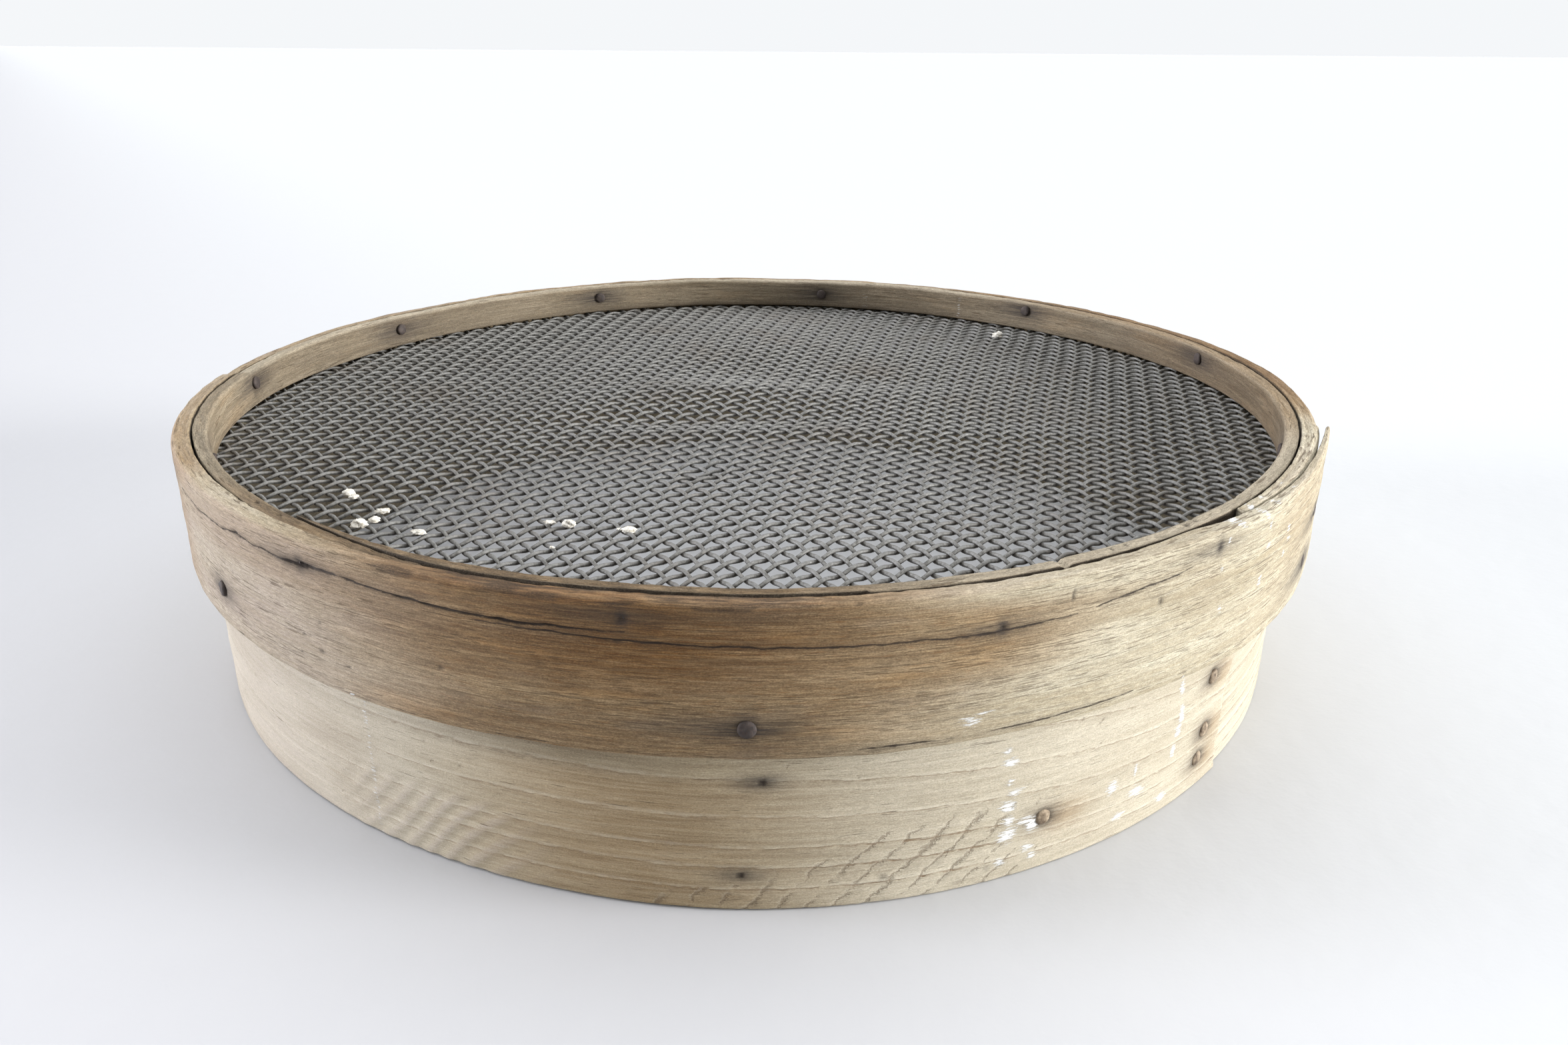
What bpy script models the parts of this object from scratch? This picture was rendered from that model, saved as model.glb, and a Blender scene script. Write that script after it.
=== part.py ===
"""Round bentwood soil sieve, standing on its open end with the wire end up.

Three wooden bands are bent into rings, and the ends of each overlap in a scarfed lap. The drum is the tall
inner band. The wire cloth lies over the drum's top edge. The outer hoop binds the cloth round the outside
of the drum, and the inner hoop holds it down on the drum's edge. Iron nails hold the bands together.

Metres, +Z up. The origin is on the floor at the middle of the drum. Angles are in degrees, counted
anticlockwise from +X as seen from above, and each band winds that way from its inner end to its outer end.
"""
import math

import bmesh
import bpy

# Driving dimensions
GAP = 0.0003  # between pieces that touch
OVERALL_H = 0.0897
HOOP_OUTER_R = 0.200
HOOP_H = 0.0412
HOOP_THICK = 0.005
HOOP_TIP = 0.0016
HOOP_SPRUNG = 0.0015  # the outer hoop's free end has sprung this far away from its lap
DRUM_THICK = 0.005
INNER_HOOP_THICK = 0.0046
BAND_TIP = 0.001  # how thick the scarfed ends of the drum and the inner hoop are
WIRE_D = 0.0012
WIRE_PITCH = 0.00556
CLOTH_TOP_Z = 0.0758
NAIL_HEAD_R = 0.0024
NAIL_HEAD_T = 0.0010
NAIL_SHANK_R = 0.0009
NAIL_SIDES = 8
NAIL_BEND_R = 0.0015
NAIL_CLINCH = 0.0055  # length of nail that is bent over
NAIL_POINT = 0.0020
NAIL_PROUD = 0.0003  # how far the tip of a nail that isn't bent over stands out of the wood
EDGE_BEVEL = 0.0004

# The bands were bent by hand, so they are slightly out of round, all in the same way
LOBES = 4
LOBE_HEIGHT = 0.0009
LOBE_AZIMUTH = -85

# A band's outline has a point every STEP degrees
STEP = 4
EASE = 5 * STEP  # a band climbs onto its own end over this angle
SPRUNG_ANGLE = 3 * STEP

# Derived dimensions
HOOP_INNER_R = HOOP_OUTER_R - HOOP_THICK
HOOP_BOTTOM_Z = OVERALL_H - HOOP_H
DRUM_INNER_R = HOOP_INNER_R - WIRE_D - GAP - DRUM_THICK
INNER_HOOP_INNER_R = HOOP_INNER_R - GAP - (BAND_TIP + GAP) - INNER_HOOP_THICK
# The cloth is one plain disc that weighs as much as its two sets of crossing wires
CLOTH_THICK = 2 * (math.pi / 4) * WIRE_D ** 2 / WIRE_PITCH
CLOTH_BOTTOM_Z = CLOTH_TOP_Z - CLOTH_THICK
CLOTH_R = DRUM_INNER_R + DRUM_THICK - GAP

# Each band: inner radius, thickness, end thickness, azimuth of the inner end, angle of the lap, how far the
# outer end has sprung away from it, and z range
DRUM = dict(inner_r=DRUM_INNER_R, thick=DRUM_THICK, tip=BAND_TIP, start=-95, lap=52, sprung=0.0,
            z=(0.0, CLOTH_BOTTOM_Z - GAP))
OUTER_HOOP = dict(inner_r=HOOP_INNER_R, thick=HOOP_THICK, tip=HOOP_TIP, start=-47, lap=28,
                  sprung=HOOP_SPRUNG, z=(HOOP_BOTTOM_Z, OVERALL_H))
INNER_HOOP = dict(inner_r=INNER_HOOP_INNER_R, thick=INNER_HOOP_THICK, tip=BAND_TIP, start=-130, lap=48,
                  sprung=0.0, z=(CLOTH_TOP_Z + GAP, OVERALL_H - GAP))

# Nails as (azimuth, height)
HOOP_NAILS = ((-139.4, 0.0608), (-90.5, 0.0571), (-31.4, 0.0569), (-28.4, 0.0703),
              (22, 0.0580), (73, 0.0592), (122, 0.0585), (171, 0.0598))
RIM_NAILS = ((-153, 0.0838), (-125.4, 0.0829), (-98.5, 0.0852), (-73.1, 0.0788), (-52.6, 0.0854),
             (-24, 0.0838), (12, 0.0850), (44.9, 0.0850), (79, 0.0826), (114.7, 0.0832),
             (148.6, 0.0835), (179, 0.0845))
LAP_NAILS_FROM_OUTSIDE = ((-46.8, 0.0369), (-47.0, 0.0194), (-47.6, 0.0103), (-67.0, 0.0164))
LAP_NAILS_FROM_INSIDE = ((-89.3, 0.0390), (-90.9, 0.0114))


def out_of_round(azimuth):
    return LOBE_HEIGHT * math.cos(math.radians(LOBES * (azimuth - LOBE_AZIMUTH)))


def lap_thickness(band, along):
    """Thickness of the lower layer of a lap, at an angle past the band's inner end."""
    return band["tip"] + (band["thick"] - band["tip"]) * min(1.0, along / band["lap"])


def faces_of(band, turn):
    """Radii of the band's inner and outer face, at an angle along it from its inner end."""
    past = turn - 360
    if past >= 0:
        lift = max(0.0, 1 - (band["lap"] - past) / SPRUNG_ANGLE)
        inner = band["inner_r"] + lap_thickness(band, past) + GAP + band["sprung"] * lift ** 2
        thick = band["thick"] + band["tip"] - lap_thickness(band, past)
    else:
        climb = max(0.0, 1 + past / EASE)
        inner = band["inner_r"] + (band["tip"] + GAP) * climb ** 2
        thick = lap_thickness(band, turn)
    wobble = out_of_round(band["start"] + turn)
    return inner + wobble, inner + thick + wobble


def span_at(band, azimuth):
    """Innermost and outermost radius of the whole band at an azimuth, both layers of its lap included."""
    turn = (azimuth - band["start"]) % 360
    inner, outer = faces_of(band, turn)
    if turn <= band["lap"]:
        outer = faces_of(band, turn + 360)[1]
    return inner, outer


def polar(radius, azimuth, z=0.0):
    angle = math.radians(azimuth)
    return radius * math.cos(angle), radius * math.sin(angle), z


def collection(name, parent=None):
    made = bpy.data.collections.new(name)
    (parent or bpy.context.scene.collection).children.link(made)
    return made


def material(name, colour, roughness, metallic=0.0):
    made = bpy.data.materials.new(name)
    made.use_nodes = True
    shader = made.node_tree.nodes["Principled BSDF"]
    shader.inputs["Base Color"].default_value = (*colour, 1.0)
    shader.inputs["Roughness"].default_value = roughness
    shader.inputs["Metallic"].default_value = metallic
    return made


def drum_wood():
    return material("drum_wood", (0.62, 0.54, 0.43), 0.85)


def outer_hoop_wood():
    return material("outer_hoop_wood", (0.47, 0.35, 0.22), 0.80)


def inner_hoop_wood():
    return material("inner_hoop_wood", (0.50, 0.42, 0.31), 0.80)


def wire_steel():
    return material("wire_steel", (0.34, 0.33, 0.30), 0.60, 0.6)


def nail_iron():
    return material("nail_iron", (0.10, 0.06, 0.045), 0.75, 0.5)


def add_part(name, mesh, finish, frame, parts):
    part = bpy.data.objects.new(name, mesh)
    part.parent = frame
    parts.objects.link(part)
    if not mesh.materials:
        mesh.materials.append(finish)
    mesh.shade_smooth()
    mesh.set_sharp_from_angle(angle=math.radians(35))
    return part


def mesh_of(source, name):
    """A welded mesh of an evaluated object, which is then removed."""
    bpy.context.view_layer.update()
    made = bpy.data.meshes.new_from_object(source.evaluated_get(bpy.context.evaluated_depsgraph_get()))
    made.name = name
    made.transform(source.matrix_world)
    data = source.data
    bpy.data.objects.remove(source)
    (bpy.data.curves if isinstance(data, bpy.types.Curve) else bpy.data.meshes).remove(data)
    welded = bmesh.new()
    welded.from_mesh(made)
    bmesh.ops.remove_doubles(welded, verts=welded.verts, dist=1e-6)
    welded.to_mesh(made)
    welded.free()
    return made


def extruded(name, outline, z_low, z_high):
    """Mesh of a flat outline, filled and extruded between two heights."""
    curve = bpy.data.curves.new(name, "CURVE")
    curve.dimensions = "2D"
    curve.fill_mode = "BOTH"
    curve.extrude = (z_high - z_low) / 2
    spline = curve.splines.new("POLY")
    spline.points.add(len(outline) - 1)
    for point, (x, y, _) in zip(spline.points, outline):
        point.co = (x, y, 0.0, 1.0)
    spline.use_cyclic_u = True
    flat = bpy.data.objects.new(name, curve)
    flat.location.z = (z_low + z_high) / 2
    bpy.context.scene.collection.objects.link(flat)
    return mesh_of(flat, name)


def band_outline(band):
    turns = range(0, 360 + band["lap"] + 1, STEP)
    inner = [polar(faces_of(band, turn)[0], band["start"] + turn) for turn in turns]
    outer = [polar(faces_of(band, turn)[1], band["start"] + turn) for turn in turns]
    return outer + inner[::-1]


def bevel_edges(part):
    bevel = part.modifiers.new("worn_edges", "BEVEL")
    bevel.width = EDGE_BEVEL
    bevel.segments = 1
    bevel.limit_method = "ANGLE"
    bevel.angle_limit = math.radians(35)


def bore_nail_holes(part, holes):
    cut = part.modifiers.new("nail_holes", "BOOLEAN")
    cut.operation = "DIFFERENCE"
    cut.operand_type = "COLLECTION"
    cut.collection = holes


def add_band(name, band, finish, holes, frame, parts):
    part = add_part(name, extruded(name, band_outline(band), *band["z"]), finish, frame, parts)
    bevel_edges(part)
    bore_nail_holes(part, holes)
    return part


def add_wire_mesh(frame, parts):
    outline = [polar(CLOTH_R + out_of_round(azimuth), azimuth) for azimuth in range(0, 360, STEP)]
    cloth = extruded("wire_mesh", outline, CLOTH_BOTTOM_Z, CLOTH_TOP_Z)
    return add_part("wire_mesh", cloth, wire_steel(), frame, parts)


def turned(name, profile, steps):
    """Mesh of an (x, z) profile, given top to bottom, turned about Z."""
    mesh = bpy.data.meshes.new(name)
    edges = [(i, i + 1) for i in range(len(profile) - 1)]
    mesh.from_pydata([(x, 0.0, z) for x, z in profile], edges, [])
    lathe = bpy.data.objects.new(name, mesh)
    bpy.context.scene.collection.objects.link(lathe)
    screw = lathe.modifiers.new("turn", "SCREW")
    screw.steps = steps
    screw.render_steps = steps
    screw.use_merge_vertices = True
    screw.merge_threshold = 1e-5
    return mesh_of(lathe, name)


def clinch(mesh, start):
    """Bend the nail over towards its own +X, below the depth called start."""
    quarter = NAIL_BEND_R * math.pi / 2
    for vertex in mesh.vertices:
        x, y, z = vertex.co
        past = -start - z
        if past <= 0:
            continue
        angle = min(past, quarter) / NAIL_BEND_R
        straight = max(0.0, past - quarter)
        bent_x = NAIL_BEND_R * (1 - math.cos(angle)) + x * math.cos(angle) + straight
        bent_z = -start - NAIL_BEND_R * math.sin(angle) + x * math.sin(angle)
        vertex.co = (bent_x, y, bent_z)


def nail_head():
    """Profile of a nail's low domed head and the top of its shank, with the head's underside at z 0."""
    return [(0.0, NAIL_HEAD_T), (0.6 * NAIL_HEAD_R, 0.85 * NAIL_HEAD_T), (NAIL_HEAD_R, 0.4 * NAIL_HEAD_T),
            (NAIL_HEAD_R, 0.0), (NAIL_SHANK_R, 0.0)]


def straight_nail(name, grip):
    """A nail whose point only just comes out of a thickness of wood called grip."""
    length = grip + 2 * GAP + NAIL_PROUD
    point = [(NAIL_SHANK_R, NAIL_POINT - length), (0.4 * NAIL_SHANK_R, -length), (0.0, -length)]
    return turned(name, nail_head() + point, NAIL_SIDES)


def clinched_nail(name, grip):
    """A nail that comes right through a thickness of wood called grip and is bent over behind it."""
    start = grip + 2 * GAP
    bend_rings = 3
    bend = [(NAIL_SHANK_R, -start - ring / bend_rings * NAIL_BEND_R * math.pi / 2)
            for ring in range(bend_rings + 1)]
    point = [(0.7 * NAIL_SHANK_R, -start - 0.8 * NAIL_CLINCH), (0.0, -start - NAIL_CLINCH)]
    nail = turned(name, nail_head() + bend + point, NAIL_SIDES)
    clinch(nail, start)
    return nail


def add_nail(name, azimuth, z, bands, from_inside, finish, frame, parts):
    """A nail through the bands. From outside it is clinched, and from inside it ends in the outer face."""
    spans = [span_at(band, azimuth) for band in bands]
    inner = min(low for low, _ in spans)
    outer = max(high for _, high in spans)
    make = straight_nail if from_inside else clinched_nail
    nail = add_part(name, make(name, outer - inner), finish, frame, parts)
    if from_inside:
        nail.location = polar(inner - GAP, azimuth, z)
        nail.rotation_euler = (math.radians(90), 0.0, math.radians(azimuth - 90))
    else:
        nail.location = polar(outer + GAP, azimuth, z)
        nail.rotation_euler = (math.radians(90), 0.0, math.radians(azimuth + 90))
    return nail


def add_hole_cutter(name, azimuth, z, holes):
    """A radial pin through all the wood at one place, for each band's collection of holes in the list."""
    mesh = bpy.data.meshes.new(name)
    pin = bmesh.new()
    bmesh.ops.create_cone(pin, cap_ends=True, segments=10, radius1=NAIL_SHANK_R + GAP,
                          radius2=NAIL_SHANK_R + GAP, depth=4 * HOOP_THICK)
    pin.to_mesh(mesh)
    pin.free()
    cutter = bpy.data.objects.new(name, mesh)
    cutter.location = polar(HOOP_INNER_R, azimuth, z)
    cutter.rotation_euler = (0.0, math.radians(90), math.radians(azimuth))
    cutter.hide_render = True
    cutter.display_type = "WIRE"
    for hole_set in holes:
        hole_set.objects.link(cutter)


def add_nails(frame, parts, drum_holes, hoop_holes, inner_hoop_holes):
    iron = nail_iron()
    groups = (
        ("hoop_nail", HOOP_NAILS, (DRUM, OUTER_HOOP), False, (drum_holes, hoop_holes)),
        ("rim_nail", RIM_NAILS, (INNER_HOOP, OUTER_HOOP), True, (inner_hoop_holes, hoop_holes)),
        ("drum_lap_nail", LAP_NAILS_FROM_OUTSIDE, (DRUM,), False, (drum_holes,)),
        ("drum_end_nail", LAP_NAILS_FROM_INSIDE, (DRUM,), True, (drum_holes,)),
    )
    for name, places, bands, from_inside, holes in groups:
        for number, (azimuth, z) in enumerate(places, start=1):
            add_nail(f"{name}_{number:02d}", azimuth, z, bands, from_inside, iron, frame, parts)
            add_hole_cutter(f"{name}_hole_{number:02d}", azimuth, z, holes)


def clear_scene():
    for thing in list(bpy.data.objects):
        bpy.data.objects.remove(thing)


def build():
    clear_scene()
    parts = collection("soil_sieve")
    cutters = collection("cutters")
    drum_holes = collection("drum_holes", cutters)
    hoop_holes = collection("outer_hoop_holes", cutters)
    inner_hoop_holes = collection("inner_hoop_holes", cutters)
    frame = bpy.data.objects.new("sieve_frame", None)
    bpy.context.scene.collection.objects.link(frame)
    add_nails(frame, parts, drum_holes, hoop_holes, inner_hoop_holes)
    add_band("drum", DRUM, drum_wood(), drum_holes, frame, parts)
    add_band("outer_hoop", OUTER_HOOP, outer_hoop_wood(), hoop_holes, frame, parts)
    add_band("inner_hoop", INNER_HOOP, inner_hoop_wood(), inner_hoop_holes, frame, parts)
    add_wire_mesh(frame, parts)


build()
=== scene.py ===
"""Looks of the bentwood soil sieve: weathered wooden bands, woven wire cloth and hand-made iron nails.

Metres and degrees, in the frame of the CAD model. Azimuths run anticlockwise from +X as seen from above, and
a band's turn is the angle along it from its inner end. Every piece is a closed mesh, and each set of parallel
wires is one piece.
"""
import math

import bmesh
import bpy
import numpy as np
from mathutils import Matrix, Vector


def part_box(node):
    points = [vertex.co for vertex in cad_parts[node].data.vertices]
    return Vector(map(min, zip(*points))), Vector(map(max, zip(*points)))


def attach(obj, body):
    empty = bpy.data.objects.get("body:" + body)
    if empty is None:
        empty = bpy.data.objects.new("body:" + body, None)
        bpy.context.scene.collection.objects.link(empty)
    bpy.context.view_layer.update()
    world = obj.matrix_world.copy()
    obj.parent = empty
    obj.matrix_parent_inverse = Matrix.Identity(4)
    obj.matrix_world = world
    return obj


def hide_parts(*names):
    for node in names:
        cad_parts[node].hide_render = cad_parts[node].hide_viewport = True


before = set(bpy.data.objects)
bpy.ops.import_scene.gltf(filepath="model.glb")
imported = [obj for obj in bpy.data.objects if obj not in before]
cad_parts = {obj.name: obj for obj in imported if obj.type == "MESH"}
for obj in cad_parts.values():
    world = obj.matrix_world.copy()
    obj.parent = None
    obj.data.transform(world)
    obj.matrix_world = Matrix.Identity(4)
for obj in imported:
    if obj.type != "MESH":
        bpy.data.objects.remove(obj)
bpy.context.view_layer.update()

MM = 0.001
GAP = 0.0003
FAR = 9.0  # a distance in millimetres at which a line doesn't show

# The bands are out of round in the same way as in the CAD model
LOBES = 4
LOBE_HEIGHT = 0.9 * MM
LOBE_AZIMUTH = -85
EASE = 20
SPRUNG_ANGLE = 12

# Half the height of the waves in each set of wires, which are pressed into each other where they cross
CRIMPS = (0.48 * MM, -0.40 * MM)
WIRE_R = 0.59 * MM
WIRE_PITCH = 5.38 * MM
WIRE_DIRECTIONS = (39.0, -53.0)
CLOTH_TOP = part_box("wire_mesh")[1].z


# ---------------------------------------------------------------- numbers

def smooth(x, low, high):
    """0 below low, 1 above high, with a soft step between them."""
    t = np.clip((x - low) / (high - low), 0, 1)
    return t * t * (3 - 2 * t)


def between(x, start, full, fading, end):
    """Rises from start to full, and falls again from fading to end."""
    return smooth(x, start, full) * (1 - smooth(x, fading, end))


def bell(x, middle, width):
    """1 at the middle, and close to 0 at twice the width from it."""
    return np.exp(-((x - middle) / width) ** 2)


def lattice(ix, iy, seed):
    """A repeatable pseudo-random number from -1 to 1 for each lattice point."""
    ix, iy = ix.astype(np.int64), iy.astype(np.int64)
    mixed = (ix * 374761393 + iy * 668265263 + seed * 974634777) & 0xFFFFFFFF
    mixed = ((mixed ^ (mixed >> 13)) * 1274126177) & 0xFFFFFFFF
    return ((mixed ^ (mixed >> 16)) & 0xFFFF) / 32767.5 - 1


def noise(x, y, seed):
    """Smooth value noise from -1 to 1, with about one feature for each unit of x and y."""
    x, y = np.broadcast_arrays(np.asarray(x, float), np.asarray(y, float))
    ix, iy = np.floor(x), np.floor(y)
    fx, fy = x - ix, y - iy
    fx, fy = fx * fx * (3 - 2 * fx), fy * fy * (3 - 2 * fy)
    low = lattice(ix, iy, seed) * (1 - fx) + lattice(ix + 1, iy, seed) * fx
    high = lattice(ix, iy + 1, seed) * (1 - fx) + lattice(ix + 1, iy + 1, seed) * fx
    return low * (1 - fy) + high * fy


def rough(x, y, seed, octaves=3):
    """Several sizes of noise on top of each other."""
    return sum(noise(x * 2 ** k, y * 2 ** k, seed + k) / 2 ** k for k in range(octaves))


def out_of_round(azimuth):
    return LOBE_HEIGHT * np.cos(np.radians(LOBES * (azimuth - LOBE_AZIMUTH)))


def through(azimuth, points):
    """A height in metres that runs through points given as (azimuth, millimetres)."""
    return np.interp(azimuth, *zip(*points)) * MM


# ---------------------------------------------------------------- bands

def measure_band(node, start, lap, tip, sprung=0.0):
    """The band's main sizes, read from its CAD node."""
    points = np.array([v.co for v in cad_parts[node].data.vertices])
    azimuth = np.degrees(np.arctan2(points[:, 1], points[:, 0]))
    radius = np.hypot(points[:, 0], points[:, 1]) - out_of_round(azimuth)
    inner_r = radius.min()
    opposite = np.abs((azimuth - start) % 360 - 180) < 30
    low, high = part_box(node)
    return dict(start=start, lap=lap, tip=tip, sprung=sprung, inner_r=inner_r,
                thick=radius[opposite].max() - inner_r, z=(low.z, high.z))


def faces_of(band, turn):
    """Radii of the band's inner and outer face, before it is out of round."""
    past = turn - 360
    in_lap = past >= 0
    share = np.minimum(1, np.where(in_lap, past, turn) / band["lap"])
    if "strip" in band:  # the lap is a rebate, in which the outer layer is a strip of one thickness
        rebate = band["thick"] - band["strip"]
        layer = np.where(share < 1, band["tip"] + rebate * smooth(share, 0, 0.4), band["thick"])
    else:
        layer = band["tip"] + (band["thick"] - band["tip"]) * share
    lift = np.clip(1 - (band["lap"] - past) / SPRUNG_ANGLE, 0, 1)
    climb = np.clip(1 + past / EASE, 0, 1)
    inner = band["inner_r"] + np.where(in_lap, layer + GAP + band["sprung"] * lift ** 2,
                                       (band["tip"] + GAP) * climb ** 2)
    return inner, inner + np.where(in_lap, band["thick"] + band["tip"] - layer, layer)


def section(outer, top, inner, bottom, corner=4):
    """Rows round a band's section: side (1 outer, 0 inner), share of the height, and the normal's angle.

    outer holds the shares of the height of the rows on the outer face; the others are numbers of rows.
    """
    rows = [(1, share, 0) for share in outer]
    rows += [(1, 1, 90 * k / corner) for k in range(1, corner + 1)]
    rows += [(1 - k / top, 1, 90) for k in range(1, top)]
    rows += [(0, 1, 90 + 90 * k / corner) for k in range(corner + 1)]
    rows += [(0, 1 - k / inner, 180) for k in range(1, inner)]
    rows += [(0, 0, 180 + 90 * k / corner) for k in range(corner + 1)]
    rows += [(k / bottom, 0, 270) for k in range(1, bottom)]
    rows += [(1, 0, 270 + 90 * k / corner) for k in range(corner)]
    return np.array(rows, float).T


def columns(band, close_from, close_to, close_step, wide_step):
    """Turns along the band, closer together between two azimuths."""
    turns = [0.0]
    while turns[-1] < 360 + band["lap"]:
        azimuth = (band["start"] + turns[-1] + 180) % 360 - 180
        near_end = turns[-1] < 3 or turns[-1] > 357 + band["lap"]
        close = close_from < azimuth < close_to or near_end
        turns.append(turns[-1] + (close_step if close else wide_step))
    turns[-1] = 360.0 + band["lap"]
    return np.array(turns)


# What the wood's material is told about each point: how stained, painted, dirty or shaded, pale, worn, brown
# and sawn it is from 0 to 1, the millimetres to a crack's edge, its height in the growth rings and the number
# of its saw cut. The dirt and brown marks also carry painted shade in a few places
MARKS = ("stain", "paint", "dirt_and_shade", "pale", "wear", "brown", "sawn", "crack", "level", "cut")


class Surface:
    """A band's skin as a grid, with a column for each turn and a row for each place round the section."""

    def __init__(self, band, turns, rows, corners, top=None, bottom=None):
        """corners are the radii of the outer top, inner top and bottom corners."""
        side, share, angle = rows
        self.band = band
        self.turn = turns[:, None]
        self.azimuth = (band["start"] + self.turn + 180) % 360 - 180
        inner, outer = faces_of(band, self.turn)
        low = band["z"][0] + (bottom(self.azimuth, self.turn) if bottom else 0)
        high = band["z"][1] + (top(self.azimuth, self.turn) if top else 0)
        self.out = np.cos(np.radians(angle))[None, :]
        self.up = np.sin(np.radians(angle))[None, :]
        outer_top, inner_top, round_bottom = corners
        round_top = outer_top * side + inner_top * (1 - side)
        corner = np.where((angle < 180) | (share > 0), round_top, round_bottom)[None, :]
        corner = np.minimum(corner, 0.46 * (outer - inner))
        self.radius = (inner + corner) * (1 - side) + (outer - corner) * side + corner * self.out
        self.z = (low + corner) * (1 - share) + (high - corner) * share + corner * self.up
        self.radius = self.radius + out_of_round(self.azimuth)
        self.push = np.zeros_like(self.radius)
        self.slide = np.zeros_like(self.radius)  # degrees along the band
        self.along = np.radians(self.turn) * band["inner_r"] + 0 * self.radius
        self.depth = 0.5 * (inner + outer) - self.radius + out_of_round(self.azimuth)
        self.height = self.z.copy()
        self.outermost = (self.turn > band["lap"]) * np.clip(self.out * 1.5, 0, 1)
        self.marks = {name: np.zeros_like(self.radius) for name in MARKS}
        self.marks["crack"] += FAR

    def across(self, azimuth):
        """Distance along the band from an azimuth, in metres."""
        return np.radians((self.azimuth - azimuth + 180) % 360 - 180) * self.band["inner_r"]

    def spot(self, azimuth, z, left, right, tall):
        """A soft oval patch, 1 at its middle, with its half sizes in millimetres."""
        dx = self.across(azimuth) / MM
        dz = (self.height - z) / MM
        return np.exp(-(dx / np.where(dx < 0, left, right)) ** 2 - (dz / tall) ** 2)

    def above(self, low, high):
        """0 below one height and 1 above the other, in millimetres."""
        return smooth(self.height / MM, low, high)

    def mark(self, name, amount):
        self.marks[name] = np.maximum(self.marks[name], amount)

    def ragged_end(self, reach, seed, length=4.0):
        """Pull the band's outer end back unevenly, by up to reach degrees."""
        near = smooth(self.turn, 360 + self.band["lap"] - length, 360 + self.band["lap"])
        self.slide -= near * reach * (0.5 + 0.5 * rough(self.height / (6 * MM), self.depth / (3 * MM), seed))

    def build(self, name, material):
        radius = self.radius + self.push * self.out
        angle = np.radians(self.band["start"] + self.turn + self.slide)
        z = np.maximum(self.z + self.push * self.up, self.band["z"][0])
        z = np.minimum(z, self.band["z"][1])
        points = np.stack([radius * np.cos(angle), radius * np.sin(angle), z], axis=-1)
        n, m = radius.shape
        index = np.arange(n * m).reshape(n, m)
        ahead = np.roll(index, -1, axis=1)
        quads = np.stack([index[:-1], index[1:], ahead[1:], ahead[:-1]], axis=-1).reshape(-1, 4)
        ends = [index[0].tolist(), index[-1][::-1].tolist()]
        piece = add_mesh(name, points.reshape(-1, 3), quads.tolist() + ends, material)
        grain = np.stack([self.along, self.height + 0 * radius, self.depth], axis=-1)
        add_attribute(piece, "grain", "FLOAT_VECTOR", "vector", grain)
        for mark, values in self.marks.items():
            add_attribute(piece, mark, "FLOAT", "value", values)
        return piece


def add_attribute(piece, name, kind, field, values):
    made = piece.data.attributes.new(name, kind, "POINT")
    made.data.foreach_set(field, np.ascontiguousarray(values, dtype=np.float32).ravel())


def put_in_scene(name, data):
    made = bpy.data.objects.new(name, data)
    bpy.context.scene.collection.objects.link(made)
    return made


def add_mesh(name, points, faces, material):
    """A closed, smooth shaded mesh that rides on the sieve."""
    mesh = bpy.data.meshes.new(name)
    mesh.from_pydata(np.asarray(points).tolist(), [], faces)
    mesh.materials.append(material)
    mesh.shade_smooth()
    piece = put_in_scene(name, mesh)
    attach(piece, "root")
    return piece


# ---------------------------------------------------------------- materials

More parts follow.
